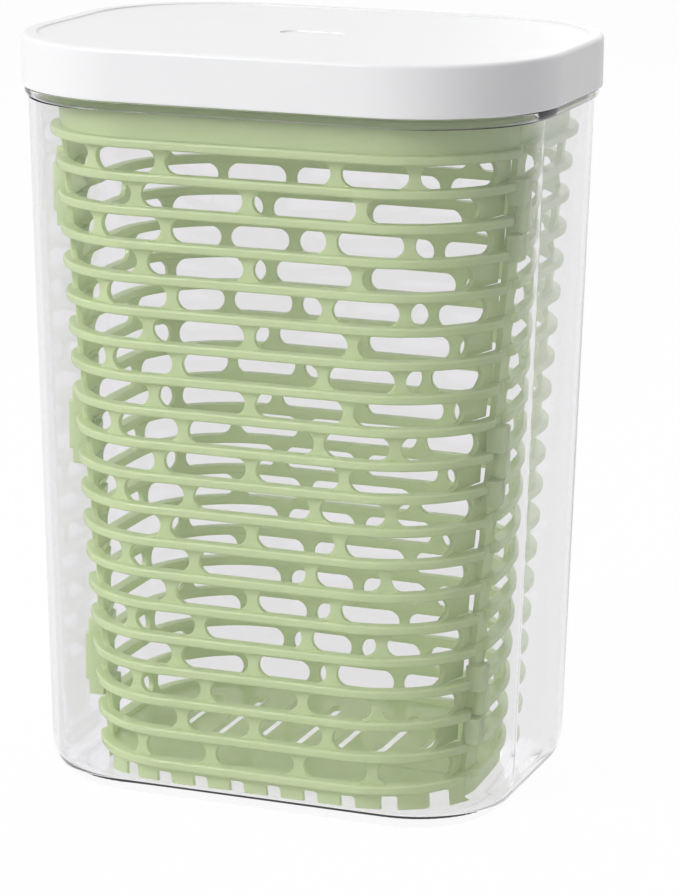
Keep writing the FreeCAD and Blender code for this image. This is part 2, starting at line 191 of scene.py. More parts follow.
# Studio: the even light on the keeper, how much of the floor is plain white paper, the lamps' power in watts,
# and how often light is followed on from matt pieces and in all
AMBIENT = (0.32, 0.32, 0.33)
PAPER_SHARE = 0.97
KEY_POWER = 18.0
TOP_POWER = 8.0
BACK_POWER = 3.0
DIFFUSE_BOUNCES = 2
CLEAR_BOUNCES = 9

# Finishes: the two colours that each drifts between, and how much of the green lets light through
CLEAR_COLOURS = ((0.88, 0.872, 0.885), (0.89, 0.882, 0.895))
GREEN_COLOURS = ((0.76, 0.88, 0.53), (0.78, 0.89, 0.56))
WHITE_COLOURS = ((0.80, 0.80, 0.805), (0.83, 0.83, 0.832))
SEAL_COLOURS = ((0.70, 0.71, 0.71), (0.76, 0.77, 0.77))
FLOOR_COLOURS = ((0.93, 0.93, 0.93), (0.94, 0.94, 0.94))
CLEAR_IOR = 1.5
GREEN_IOR = 1.46
GREEN_TRANSMISSION = 0.3
GREEN_GLOW_SHARE = 0.4
SHADOW_TINT = (0.93, 0.93, 0.94)

# How finely round shapes are divided, and how far strips and cutters run past what they meet
CORNER_STEPS = 20
ROUND_STEPS = 6
SHARP_ANGLE = math.radians(38)
FAR = 200.0
STRIP_STEP = 2.2
STRIP_OVERRUN = 3.0
TIP_CLEARANCE = 0.5
THIN_SHELF = 0.02
TIP_ANGLES = (0, 22, 45, 65, 80, 90)


def inset(plan, amount):
    """The outline moved inwards by an amount."""
    return tuple(value - amount for value in plan)


def blend_plans(low, high, share):
    """The outline that lies a share of the way from one outline to another."""
    return tuple(a + (b - a) * share for a, b in zip(low, high))


def basket_plan(height):
    """Half length, half depth and corner radius of the basket's wall at a height."""
    return blend_plans(BASKET_FOOT_PLAN, BASKET_TOP_PLAN, (height - BASKET_FOOT) / (BASKET_TOP - BASKET_FOOT))


def loop(plan, height):
    """Points round a rectangle with round corners, anticlockwise from above."""
    half_x, half_y, radius = plan
    points = []
    for side_x, side_y, start in ((1, -1, -90), (1, 1, 0), (-1, 1, 90), (-1, -1, 180)):
        for step in range(CORNER_STEPS + 1):
            angle = math.radians(start + 90 * step / CORNER_STEPS)
            x = side_x * (half_x - radius) + radius * math.cos(angle)
            y = side_y * (half_y - radius) + radius * math.sin(angle)
            points.append((x, y, height))
    return points


def arc(centre, radius, start, end, steps=ROUND_STEPS):
    """Points of an arc in a section, as offset and height, with angles in degrees."""
    points = []
    for step in range(steps + 1):
        angle = math.radians(start + (end - start) * step / steps)
        points.append((centre[0] + radius * math.cos(angle), centre[1] + radius * math.sin(angle)))
    return points


def new_mesh(name, points, faces):
    """A mesh whose closed surface faces outwards."""
    mesh = bpy.data.meshes.new(name)
    mesh.from_pydata(points, [], faces)
    face_outwards(mesh)
    return mesh


def face_outwards(mesh):
    """Turns a closed mesh's faces outwards by the sign of its volume."""
    shape = bmesh.new()
    shape.from_mesh(mesh)
    if shape.calc_volume(signed=True) < 0:
        bmesh.ops.reverse_faces(shape, faces=shape.faces)
    shape.to_mesh(mesh)
    shape.free()


def loft(name, rings, closed=False):
    """A solid through rings of as many points each, closed on itself or with a cap at either end."""
    size = len(rings[0])
    points = [point for ring in rings for point in ring]
    faces = []
    count = len(rings)
    for index in range(count if closed else count - 1):
        low = index * size
        high = (index + 1) % count * size
        for step in range(size):
            following = (step + 1) % size
            faces.append((low + step, low + following, high + following, high + step))
    if not closed:
        faces.append(tuple(reversed(range(size))))
        faces.append(tuple(range((count - 1) * size, count * size)))
    return new_mesh(name, points, faces)


def block(name, low, high, edge=0.0):
    """A block between two corners, with its edges rounded."""
    shape = bmesh.new()
    bmesh.ops.create_cube(shape, size=1.0)
    for vertex in shape.verts:
        share = vertex.co + Vector((0.5, 0.5, 0.5))
        vertex.co = [a + (b - a) * s for a, b, s in zip(low, high, share)]
    if edge:
        bmesh.ops.bevel(shape, geom=shape.edges[:], offset=edge, segments=3, profile=0.5, affect="EDGES")
    mesh = bpy.data.meshes.new(name)
    shape.to_mesh(mesh)
    shape.free()
    return mesh


def barrel(name, start, direction, length, radius, edge=0.0):
    """A round bar from a point along a direction, with its rims rounded."""
    turn = Vector((0, 0, 1)).rotation_difference(direction).to_matrix()
    section = [(radius, edge), (radius, length - edge)]
    if edge:
        section = [(radius - edge, 0.0)] + section + [(radius - edge, length)]
    rings = []
    for reach, height in section:
        ring = []
        for step in range(4 * ROUND_STEPS):
            angle = math.tau * step / (4 * ROUND_STEPS)
            point = turn @ Vector((reach * math.cos(angle), reach * math.sin(angle), height))
            ring.append(tuple(start + point))
        rings.append(ring)
    return loft(name, rings)


def object_of(mesh, name=None):
    """An object in the scene that shows a mesh."""
    made = bpy.data.objects.new(name or mesh.name, mesh)
    bpy.context.scene.collection.objects.link(made)
    return made


def baked(made, name):
    """A plain mesh of an object with its modifiers, after which the object is removed."""
    bpy.context.view_layer.update()
    graph = bpy.context.evaluated_depsgraph_get()
    mesh = bpy.data.meshes.new_from_object(made.evaluated_get(graph))
    mesh.name = name
    bpy.data.objects.remove(made)
    return mesh


def combined(name, base, *steps):
    """A solid made from a base mesh by joining, cutting or keeping what it shares with other meshes."""
    made = object_of(base)
    tools = []
    for operation, mesh in steps:
        tool = object_of(mesh)
        tools.append(tool)
        change = made.modifiers.new(operation, "BOOLEAN")
        change.operation = operation
        change.solver = "MANIFOLD"
        change.object = tool
    result = baked(made, name)
    for tool in tools:
        bpy.data.objects.remove(tool)
    return result


def together(name, meshes):
    """Several meshes as one, side by side."""
    shape = bmesh.new()
    for mesh in meshes:
        shape.from_mesh(mesh)
    joined = bpy.data.meshes.new(name)
    shape.to_mesh(joined)
    shape.free()
    return joined


def copies_tree():
    """The node tree that sets copies of a piece at even steps, with the number, start and step as inputs."""
    tree = bpy.data.node_groups.new("evenly_spaced_copies", "GeometryNodeTree")
    sockets = (("Piece", "NodeSocketGeometry"), ("Count", "NodeSocketInt"), ("Start", "NodeSocketVector"),
               ("Step", "NodeSocketVector"), ("Finish", "NodeSocketMaterial"))
    for name, kind in sockets:
        tree.interface.new_socket(name, in_out="INPUT", socket_type=kind)
    tree.interface.new_socket("Copies", in_out="OUTPUT", socket_type="NodeSocketGeometry")
    given = tree.nodes.new("NodeGroupInput")
    result = tree.nodes.new("NodeGroupOutput")
    places = tree.nodes.new("GeometryNodeMeshLine")
    places.mode = "OFFSET"
    copies = tree.nodes.new("GeometryNodeInstanceOnPoints")
    solid = tree.nodes.new("GeometryNodeRealizeInstances")
    finish = tree.nodes.new("GeometryNodeSetMaterial")
    tree.links.new(given.outputs["Count"], places.inputs["Count"])
    tree.links.new(given.outputs["Start"], places.inputs["Start Location"])
    tree.links.new(given.outputs["Step"], places.inputs["Offset"])
    tree.links.new(places.outputs["Mesh"], copies.inputs["Points"])
    tree.links.new(given.outputs["Piece"], copies.inputs["Instance"])
    tree.links.new(copies.outputs["Instances"], solid.inputs["Geometry"])
    tree.links.new(solid.outputs["Geometry"], finish.inputs["Geometry"])
    tree.links.new(given.outputs["Finish"], finish.inputs["Material"])
    tree.links.new(finish.outputs["Geometry"], result.inputs["Copies"])
    return tree


COPIES = copies_tree()


def copies(mesh, count, start, step, finish=None):
    """Copies of a mesh at even steps, made by the node tree, as one plain mesh."""
    made = object_of(mesh)
    change = made.modifiers.new("copies", "NODES")
    change.node_group = COPIES
    values = {"Count": count, "Start": start, "Step": step, "Finish": finish}
    for socket in COPIES.interface.items_tree:
        if socket.in_out == "INPUT" and socket.name in values:
            change[socket.identifier] = values[socket.name]
    return baked(made, mesh.name)


def distance_to(y, height):
    """Distance along the basket's wall from the middle of its front to where it reaches y, on either side."""
    half_x, half_y, radius = basket_plan(height)
    flat = half_x - radius
    side = half_y - radius
    bend = radius * math.pi / 2
    first = flat + radius * np.arccos(np.clip((-side - y) / radius, 0, 1))
    straight = flat + bend + np.clip(y + side, 0, 2 * side)
    second = radius * np.arcsin(np.clip((y - side) / radius, 0, 1))
    return np.where(y <= -side, first, straight + second)


def seam_distance(back, height):
    """Distance along the wall from the middle of the door, or of the back, to the seam."""
    return distance_to(-SEAM_Y if back else SEAM_Y, height)


def wrap(mesh, back, stretched=False):
    """Bends a mesh drawn flat, as distance along, outwards and up, round the basket's wall."""
    count = len(mesh.vertices)
    flat_points = np.zeros(count * 3)
    mesh.vertices.foreach_get("co", flat_points)
    along, out, up = flat_points.reshape(-1, 3).T
    if stretched:
        along = along * seam_distance(back, up) / seam_distance(back, BASKET_TOP)
    half_x, half_y, radius = basket_plan(up)
    flat = half_x - radius
    side = half_y - radius
    bend = radius * math.pi / 2
    run = np.abs(along)
    beyond = run - flat - bend
    turn = np.clip((run - flat) / radius, 0, math.pi / 2)
    turn = turn + np.clip((beyond - 2 * side) / radius, 0, math.pi / 2)
    x = np.sign(along) * (np.minimum(run, flat) + (radius + out) * np.sin(turn))
    y = -side + np.clip(beyond, 0, 2 * side) - (radius + out) * np.cos(turn)
    facing = -1 if back else 1
    points = np.stack((facing * x, facing * y, up), axis=1)
    mesh.vertices.foreach_set("co", points.ravel())
    face_outwards(mesh)
    return mesh


def strip(name, stations, section_at):
    """A flat bar along the wall whose section, as outwards and up, may change between stations."""
    rings = []
    for along in stations:
        rings.append([(along, out, up) for out, up in section_at(along)])
    return loft(name, rings)


def shelf_section(reach):
    """Section of a shelf and the wall behind it, with its outer edges rounded."""
    half = SHELF_THICKNESS / 2
    edge = min(SHELF_EDGE, reach * 0.7)
    section = [(-BASKET_WALL, -half)]
    section += arc((reach - edge, -half + edge), edge, -90, 0, 4)
    section += arc((reach - edge, half - edge), edge, 0, 90, 4)
    section.append((-BASKET_WALL, half))
    return section


def strip_stations(back, tips=()):
    """Distances along the wall at which a strip has a section, a little past the seam at both ends."""
    end = float(seam_distance(back, BASKET_TOP))
    count = int(end / STRIP_STEP)
    places = [end * step / count for step in range(count)]
    near = end - SHELF_END_GAP - SHELF_END_ROUND
    places = [place for place in places if place < near - TIP_CLEARANCE] + list(tips) + [end + STRIP_OVERRUN]
    return [-place for place in reversed(places) if place] + places


def make_shelves(back):
    """The stack of shelves on one side of the seam: the top one is wider than the rest."""
    end = float(seam_distance(back, BASKET_TOP)) - SHELF_END_GAP
    tips = [end - SHELF_END_ROUND * (1 - math.sin(math.radians(angle))) for angle in TIP_ANGLES]
    stations = strip_stations(back, tips)

    def shelf(reach):
        def section_at(along):
            share = (abs(along) - end + SHELF_END_ROUND) / SHELF_END_ROUND
            round_end = math.sqrt(max(0.0, 1 - max(share, 0.0) ** 2))
            return shelf_section(max(reach * round_end, THIN_SHELF))
        return strip("shelf", stations, section_at)

    top = copies(shelf(TOP_SHELF_REACH), 1, (0, 0, TOP_SHELF), (0, 0, -SHELF_PITCH))
    rest = copies(shelf(SHELF_REACH), SHELF_COUNT - 1, (0, 0, TOP_SHELF - SHELF_PITCH), (0, 0, -SHELF_PITCH))
    return wrap(together("shelves", [top, rest]), back, stretched=True)


def make_band(back, low, high):
    """A plain stretch of the wall between two heights."""
    section = [(-BASKET_WALL, low), (0, low), (0, high), (-BASKET_WALL, high)]
    return wrap(strip("band", strip_stations(back), lambda along: section), back, stretched=True)


def strut_levels():
    """Depth and inset of a strut's outline from the wall's inner face to its outer one, with round edges."""
    part = STRUT_EDGE * STRUT_EDGE_SHARE
    levels = [(-BASKET_WALL, STRUT_EDGE), (-BASKET_WALL + part, part)]
    levels += [(-BASKET_WALL + STRUT_EDGE, 0.0), (-STRUT_EDGE, 0.0)]
    levels += [(-part, part), (0.0, STRUT_EDGE)]
    return levels


def waist():
    """Height and width beyond the waist of the side of a slot's round end, from its foot to its head."""
    points = [(-SLOT_RADIUS - OVERLAP, SLOT_RADIUS)]
    for step in range(-WAIST_STEPS, WAIST_STEPS + 1):
        angle = math.radians(WAIST_TURN * step / WAIST_STEPS)
        points.append((SLOT_RADIUS * math.sin(angle), SLOT_RADIUS * (1 - math.cos(angle))))
    points.append((SLOT_RADIUS + OVERLAP, SLOT_RADIUS))
    return points


def flat_strut():
    """A web between two shelves, waisted by the round slot ends on both sides of it."""
    rings = []
    for out, back_off in strut_levels():
        right = [(STRUT_HALF + wide - back_off, out, up) for up, wide in waist()]
        left = [(-along, out, up) for along, out, up in reversed(right)]
        rings.append(right + left)
    return loft("strut", rings)


def flat_end(side, length):
    """The wall beyond the last slot in a row, with the slot's round end in it."""
    rings = []
    for out, back_off in strut_levels():
        near = [(side * (-wide + back_off), out, up) for up, wide in waist()]
        far = [(side * length, out, up) for up, _ in reversed(waist())]
        rings.append(near + far)
    return loft("row_end", rings)


def make_struts(back):
    """Every strut and row end on one side of the seam, in alternating columns that draw in with the wall."""
    columns = BODY_COLUMNS if back else DOOR_COLUMNS
    pieces = []
    for first in (0, 1):
        rows = (ROW_COUNT - first + 1) // 2
        top = TOP_SHELF - SHELF_PITCH * (first + 0.5)
        drop = -2 * SHELF_PITCH
        for column in columns[first]:
            inwards = -math.copysign(STRUT_DRIFT, column) if column else 0.0
            start = (column + inwards * first, 0, top)
            pieces.append(copies(flat_strut(), rows, start, (2 * inwards, 0, drop)))
        low = top + drop * (rows - 1)
        if back:
            reach = float(seam_distance(back, top)) - BODY_SLOT_END
            lower = float(seam_distance(back, low)) - BODY_SLOT_END
            step = (lower - reach) / (rows - 1)
        else:
            step = -2 * STRUT_DRIFT
            reach = DOOR_SLOT_REACH[first] - STRUT_DRIFT * first
        for side in (1, -1):
            length = BODY_END_LENGTH if back else DOOR_END_LENGTH
            start = (side * reach, 0, top)
            pieces.append(copies(flat_end(side, length), rows, start, (side * step, 0, drop)))
    return wrap(together("struts", pieces), back)


def make_lip():
    """Flange round the basket's top, all the way round."""
    edge = LIP_EDGE
    low = BASKET_TOP - LIP_THICKNESS
    rings = [loop(inset(basket_plan(low), BASKET_WALL), low)]
    for offset, height in arc((-edge, low + edge), edge, -90, 0, 4):
        rings.append(loop(inset(LIP_PLAN, -offset), height))
    for offset, height in arc((-edge, BASKET_TOP - edge), edge, 0, 90, 4):
        rings.append(loop(inset(LIP_PLAN, -offset), height))
    rings.append(loop(inset(basket_plan(BASKET_TOP), BASKET_WALL), BASKET_TOP))
    return loft("lip", rings, closed=True)


def make_floor():
    """Flat floor of the basket, before the seam divides it."""
    plan = inset(basket_plan(FLOOR_LOW), BASKET_WALL / 2)
    return loft("floor", [loop(plan, FLOOR_LOW), loop(plan, FLOOR_LOW + BASKET_FLOOR)])


def drain_cutters():
    """Long holes with round ends, in even steps across the floor on both sides of the seam."""
    plan = inset(basket_plan(BASKET_FOOT), BASKET_WALL + DRAIN_EDGE)
    half_x, half_y, radius = plan
    count = int(half_x / DRAIN_PITCH)
    cutters = []
    for index in range(-count, count + 1):
        x = index * DRAIN_PITCH
        bend = max(0.0, abs(x) - (half_x - radius))
        reach = half_y - radius + math.sqrt(radius ** 2 - bend ** 2)
        for y0, y1 in ((-reach, SEAM_Y - DRAIN_RIB), (SEAM_Y + DRAIN_RIB, reach)):
            if y1 - y0 > 2 * DRAIN_WIDTH:
                outline = (DRAIN_WIDTH / 2, (y1 - y0) / 2, DRAIN_WIDTH / 2 - 0.01)
                rings = []
                for height in (FLOOR_LOW - DRAIN_OVERRUN, FLOOR_LOW + BASKET_FLOOR + DRAIN_OVERRUN):
                    rings.append([(x + px, (y0 + y1) / 2 + py, pz) for px, py, pz in loop(outline, height)])
                cutters.append(loft("drain", rings))
    return together("drains", cutters)


def foot_cutters():
    """Openings in even steps under the floor that leave the short feet."""
    span = 2 * BASKET_FOOT_PLAN[0] / FOOT_COUNT
    half = (span - FOOT_WIDTH) / 2
    window = block("window", (-half, -FAR / 2, -WINDOW_DROP), (half, FAR / 2, FLOOR_LOW), WINDOW_EDGE)
    return copies(window, FOOT_COUNT, (-BASKET_FOOT_PLAN[0] + span / 2, 0, 0), (span, 0, 0))


def half_space(back):
    """All the space on one side of the seam."""
    if back:
        return block("behind_seam", (-FAR, SEAM_Y + SEAM_HALF_GAP, -FAR), (FAR, FAR, 2 * FAR))
    return block("before_seam", (-FAR, -FAR, -FAR), (FAR, SEAM_Y - SEAM_HALF_GAP, 2 * FAR))


def side_x(height):
    """The basket wall's outside where the seam crosses it, on the right."""
    half_x, half_y, radius = basket_plan(height)
    rise = max(0.0, -(half_y - radius) - SEAM_Y)
    return half_x - radius + math.sqrt(radius ** 2 - rise ** 2)


def stations():
    """Heights of the hinges and latches."""
    return [STATION_TOP - STATION_PITCH * index for index in range(STATION_COUNT)]


def hinge_line():
    """Foot and direction of the hinge line, which leans with the wall."""
    low = stations()[-1]
    high = stations()[0]
    foot = Vector((side_x(low) + HINGE_STANDOFF, SEAM_Y, low))
    top = Vector((side_x(high) + HINGE_STANDOFF, SEAM_Y, high))
    return foot, (top - foot).normalized()


def make_hinges(back):
    """Barrels and webs of the hinges on one side of the seam, and for the basket the pins."""
    foot, direction = hinge_line()
    third = HINGE_LENGTH / 3
    parts = []
    for height in stations():
        centre = foot + direction * ((height - foot.z) / direction.z)
        if back:
            spans = [(-0.5 * third, third)]
            start = centre - direction * HINGE_LENGTH / 2
            parts.append(barrel("pin", start, direction, HINGE_LENGTH, PIN_RADIUS, PIN_EDGE))
        else:
            spans = [(-1.5 * third, third - KNUCKLE_GAP), (0.5 * third + KNUCKLE_GAP, third - KNUCKLE_GAP)]
        away = 1 if back else -1
        for start, length in spans:
            point = centre + direction * start
            parts.append(barrel("knuckle", point, direction, length, KNUCKLE_RADIUS, KNUCKLE_EDGE))
            near = SEAM_Y + away * SEAM_HALF_GAP
            far = SEAM_Y + away * HINGE_ARM
            low = (side_x(height) - BASKET_WALL / 2, min(near, far), point.z)
            high = (point.x + KNUCKLE_RADIUS - SEAM_HALF_GAP, max(near, far), point.z + length * direction.z)
            parts.append(block("hinge_web", low, high, WEB_EDGE))
    return parts


def pin_holes():
    """Bores for the pins through the door's barrels."""
    foot, direction = hinge_line()
    holes = []
    for height in stations():
        centre = foot + direction * ((height - foot.z) / direction.z)
        start = centre - direction * (HINGE_LENGTH / 2 + BORE_OVERRUN)
        holes.append(barrel("bore", start, direction, HINGE_LENGTH + 2 * BORE_OVERRUN, PIN_RADIUS + PIN_FIT))
    return together("bores", holes)


def make_latches(back):
    """Tabs on the left: the door's plates carry a lip that passes over the basket's catches."""
    parts = []
    for height in stations():
        wall = -side_x(height) + BASKET_WALL / 2
        low = height - LATCH_HEIGHT / 2
        high = height + LATCH_HEIGHT / 2
        catch = -side_x(height) - CATCH_REACH
        near = catch - LATCH_FIT
        if back:
            y0 = SEAM_Y + SEAM_HALF_GAP
            parts.append(block("catch", (catch, y0, low), (wall, y0 + CATCH_PLATE, high), LATCH_EDGE))
            continue
        y1 = SEAM_Y - SEAM_HALF_GAP
        y0 = y1 - LATCH_PLATE
        lip_low = height - LATCH_LIP_HEIGHT / 2
        lip_high = height + LATCH_LIP_HEIGHT / 2
        parts.append(block("latch_plate", (near, y0, low), (wall, y1, high), LATCH_EDGE))
        outer = near - LATCH_LIP
        parts.append(block("latch_root", (outer, y0, lip_low), (near + LATCH_LIP, y1, lip_high), LATCH_EDGE))
        lip_end = (near, y0 + LATCH_LIP_LENGTH, lip_high)
        parts.append(block("latch_lip", (outer, y0, lip_low), lip_end, LATCH_EDGE))
    return parts


def make_basket_side(back):
    """The green basket or its door: shelves, struts, lip, floor and feet, cut at the seam, with fittings."""
    steps = [("UNION", make_struts(back))]
    steps.append(("UNION", make_band(back, TOP_SHELF, BASKET_TOP)))
    bottom_shelf = TOP_SHELF - SHELF_PITCH * (SHELF_COUNT - 1)
    skirt = make_band(back, BASKET_FOOT, bottom_shelf)
    steps.append(("UNION", combined("skirt", skirt, ("DIFFERENCE", foot_cutters()))))
    steps.append(("UNION", make_lip()))
    steps.append(("UNION", combined("drained_floor", make_floor(), ("DIFFERENCE", drain_cutters()))))
    steps.append(("INTERSECT", half_space(back)))
    for part in make_hinges(back) + make_latches(back):
        steps.append(("UNION", part))
    if not back:
        steps.append(("DIFFERENCE", pin_holes()))
    return combined("basket_side", make_shelves(back), *steps)


def make_container():
    """Clear vessel: thick rounded base, leaning wall, shoulder under the lid and a neck inside it."""
    wall_foot = inset(WALL_TOP_PLAN, WALL_LEAN)

    def wall(height):
        return blend_plans(wall_foot, WALL_TOP_PLAN, min(height / SHOULDER_FOOT, 1.0))

    rings = []
    for offset, height in arc((-BASE_ROUND, BASE_ROUND), BASE_ROUND, -90, 0, 14):
        rings.append(loop(inset(wall(height), -offset), height))
    shoulder_plan = inset(LID_PLAN, SHOULDER_INSET)
    rings.append(loop(WALL_TOP_PLAN, SHOULDER_FOOT))
    for offset, height in arc((-SHOULDER_ROUND, SHOULDER_FOOT + SHOULDER_ROUND), SHOULDER_ROUND, -90, 0):
        rings.append(loop(inset(shoulder_plan, -offset), height))
    for offset, height in arc((-SHOULDER_EDGE, SHOULDER_TOP - SHOULDER_EDGE), SHOULDER_EDGE, 0, 90, 3):
        rings.append(loop(inset(shoulder_plan, -offset), height))
    rings.append(loop(WALL_TOP_PLAN, SHOULDER_TOP))
    for offset, height in arc((-NECK_ROUND, NECK_TOP - NECK_ROUND), NECK_ROUND, 0, 90, 4):
        rings.append(loop(inset(WALL_TOP_PLAN, -offset), height))
    inner_top = inset(WALL_TOP_PLAN, CONTAINER_WALL)
    for offset, height in arc((NECK_ROUND, NECK_TOP - NECK_ROUND), NECK_ROUND, 90, 180, 4):
        rings.append(loop(inset(inner_top, -offset), height))
    rings.append(loop(inner_top, SHOULDER_FOOT))
    for offset, height in arc((FLOOR_ROUND, FLOOR_THICKNESS + FLOOR_ROUND), FLOOR_ROUND, 0, -90, 12):
        rings.append(loop(inset(wall(height), CONTAINER_WALL + 2 * FLOOR_ROUND - offset), height))
    return loft("container", rings)


def make_lid():
    """White cap: sunk top panel, rounded rim, and the plug with its groove for the seal."""
    panel = KEEPER_TOP - PANEL_DEPTH
    fillet = PANEL_FILLET
    section = [(-PANEL_BORDER - fillet, panel)]
    section += arc((-PANEL_BORDER - fillet, panel + fillet), fillet, -60, 0, 3)
    section += arc((-PANEL_BORDER + RIM_EDGE, KEEPER_TOP - RIM_EDGE), RIM_EDGE, 180, 90, 3)
    section += arc((-LID_TOP_ROUND, KEEPER_TOP - LID_TOP_ROUND), LID_TOP_ROUND, 90, 0)
    section += arc((-LID_FOOT_ROUND, LID_FOOT + LID_FOOT_ROUND), LID_FOOT_ROUND, 0, -90, 4)
    rings = [loop(inset(LID_PLAN, -offset), height) for offset, height in section]
    cavity = arc((LID_FOOT_ROUND, LID_FOOT + LID_FOOT_ROUND), LID_FOOT_ROUND, -90, -180, 3)
    cavity.append((0.0, LID_CEILING))
    rings += [loop(inset(WALL_TOP_PLAN, -LID_FIT - offset), height) for offset, height in cavity]
    plug_plan = inset(WALL_TOP_PLAN, CONTAINER_WALL + SEAL_GROOVE + PLUG_FIT)
    edge = PLUG_EDGE
    plug = [(0.0, LID_CEILING), (0.0, SEAL_TOP), (-SEAL_GROOVE, SEAL_TOP), (-SEAL_GROOVE, SEAL_FOOT)]
    plug += [(0.0, SEAL_FOOT)] + arc((-edge, PLUG_FOOT + edge), edge, 0, -90, 3)
    plug += arc((-PLUG_WALL + edge, PLUG_FOOT + edge), edge, -90, -180, 3) + [(-PLUG_WALL, LID_CEILING)]
    rings += [loop(inset(plug_plan, -offset), height) for offset, height in plug]
    return combined("lid", loft("lid", rings), ("DIFFERENCE", badge_cutter(panel)))


def badge_cutter(panel):
    """The shallow bare recess in the middle of the lid, with a softened rim."""
    rings = []
    half_x, half_y = BADGE_HALF
    for spread, height in BADGE_SECTION:
        plan = (half_x + spread, half_y + spread, half_y + spread - 0.01)
        rings.append([(x, y + BADGE_Y, z) for x, y, z in loop(plan, panel + height)])
    return loft("badge", rings)


def remove_flaps(mesh):
    """Takes out pairs of faces that lie back to back on the same points, which joining can leave."""
    shape = bmesh.new()
    shape.from_mesh(mesh)
    by_points = {}
    for face in shape.faces:
        by_points.setdefault(frozenset(vertex.index for vertex in face.verts), []).append(face)
    flaps = [face for faces in by_points.values() if len(faces) > 1 for face in faces]
    bmesh.ops.delete(shape, geom=flaps, context="FACES")
    shape.to_mesh(mesh)
    shape.free()


def finished(mesh, name, body, node, material):
    """Makes a solid drawn in millimetres the piece that stands for a node of the frame."""
    remove_flaps(mesh)
    mesh.transform(Matrix.Scale(MM, 4))
    mesh.materials.clear()
    mesh.materials.append(material)
    mesh.polygons.foreach_set("material_index", [0] * len(mesh.polygons))
    mesh.polygons.foreach_set("use_smooth", [True] * len(mesh.polygons))
    mesh.set_sharp_from_angle(angle=SHARP_ANGLE)
    made = object_of(mesh, name)
    even = made.modifiers.new("even_shading", "WEIGHTED_NORMAL")
    even.keep_sharp = True
    plain = baked(made, name)
    made = object_of(plain, name)
    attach(made, body)
    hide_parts(node)
    return made


def group_input(tree, name, kind, value):
    """A named input of a shader group with its usual value."""
    socket = tree.interface.new_socket(name, in_out="INPUT", socket_type=kind)
    socket.default_value = value
    return socket


def moulding_group():
    """The faint unevenness of moulded plastic: ripples and grain as heights, cloudy patches as a share."""
    tree = bpy.data.node_groups.new("moulded_surface", "ShaderNodeTree")
    group_input(tree, "Ripple Scale", "NodeSocketFloat", 25.0)
    group_input(tree, "Grain Scale", "NodeSocketFloat", 900.0)
    group_input(tree, "Grain Share", "NodeSocketFloat", 0.2)
    for name in ("Height", "Patches"):
        tree.interface.new_socket(name, in_out="OUTPUT", socket_type="NodeSocketFloat")
    given = tree.nodes.new("NodeGroupInput")
    result = tree.nodes.new("NodeGroupOutput")
    place = tree.nodes.new("ShaderNodeTexCoord")
    ripple = tree.nodes.new("ShaderNodeTexNoise")
    ripple.inputs["Detail"].default_value = 2.0
    grain = tree.nodes.new("ShaderNodeTexNoise")
    grain.inputs["Detail"].default_value = 3.0
    patches = tree.nodes.new("ShaderNodeTexNoise")
    patches.inputs["Detail"].default_value = 4.0
    patches.inputs["Scale"].default_value = 60.0
    mix = tree.nodes.new("ShaderNodeMix")
    mix.data_type = "FLOAT"
    for noise in (ripple, grain, patches):
        tree.links.new(place.outputs["Object"], noise.inputs["Vector"])
    tree.links.new(given.outputs["Ripple Scale"], ripple.inputs["Scale"])
    tree.links.new(given.outputs["Grain Scale"], grain.inputs["Scale"])
    tree.links.new(given.outputs["Grain Share"], mix.inputs["Factor"])
    tree.links.new(ripple.outputs["Fac"], mix.inputs["A"])
    tree.links.new(grain.outputs["Fac"], mix.inputs["B"])
    tree.links.new(mix.outputs["Result"], result.inputs["Height"])
    tree.links.new(patches.outputs["Fac"], result.inputs["Patches"])
    return tree


MOULDING = moulding_group()


def plastic(name, colours, rough, bump, scales=(25.0, 900.0, 0.2)):
    """A moulded plastic whose colour and roughness drift between two values, with faint ripples."""
    material = bpy.data.materials.new(name)
    material.use_nodes = True
    tree = material.node_tree
    shader = tree.nodes["Principled BSDF"]
    surface = tree.nodes.new("ShaderNodeGroup")
    surface.node_tree = MOULDING
    for socket, value in zip(("Ripple Scale", "Grain Scale", "Grain Share"), scales):
        surface.inputs[socket].default_value = value
    tint = tree.nodes.new("ShaderNodeMix")
    tint.data_type = "RGBA"
    tint.inputs["A"].default_value = (*colours[0], 1.0)
    tint.inputs["B"].default_value = (*colours[1], 1.0)
    spread = tree.nodes.new("ShaderNodeMapRange")
    spread.inputs["From Min"].default_value = 0.3
    spread.inputs["From Max"].default_value = 0.7
    spread.inputs["To Min"].default_value = rough[0]
    spread.inputs["To Max"].default_value = rough[1]
    lift = tree.nodes.new("ShaderNodeBump")
    lift.inputs["Strength"].default_value = 1.0
    lift.inputs["Distance"].default_value = bump
    tree.links.new(surface.outputs["Patches"], tint.inputs["Factor"])
    tree.links.new(surface.outputs["Patches"], spread.inputs["Value"])
    tree.links.new(surface.outputs["Height"], lift.inputs["Height"])
    tree.links.new(tint.outputs["Result"], shader.inputs["Base Color"])
    tree.links.new(spread.outputs["Result"], shader.inputs["Roughness"])
    tree.links.new(lift.outputs["Normal"], shader.inputs["Normal"])
    return material, shader


def let_lamps_through(material, surface, tint):
    """Lets tinted light reach what stands behind a see-through piece."""
    tree = material.node_tree
    clear = tree.nodes.new("ShaderNodeBsdfTransparent")
    clear.inputs["Color"].default_value = (*tint, 1.0)
    path = tree.nodes.new("ShaderNodeLightPath")
    mix = tree.nodes.new("ShaderNodeMixShader")
    tree.links.new(path.outputs["Is Shadow Ray"], mix.inputs["Fac"])
    tree.links.new(surface, mix.inputs[1])
    tree.links.new(clear.outputs["BSDF"], mix.inputs[2])
    tree.links.new(mix.outputs["Shader"], tree.nodes["Material Output"].inputs["Surface"])


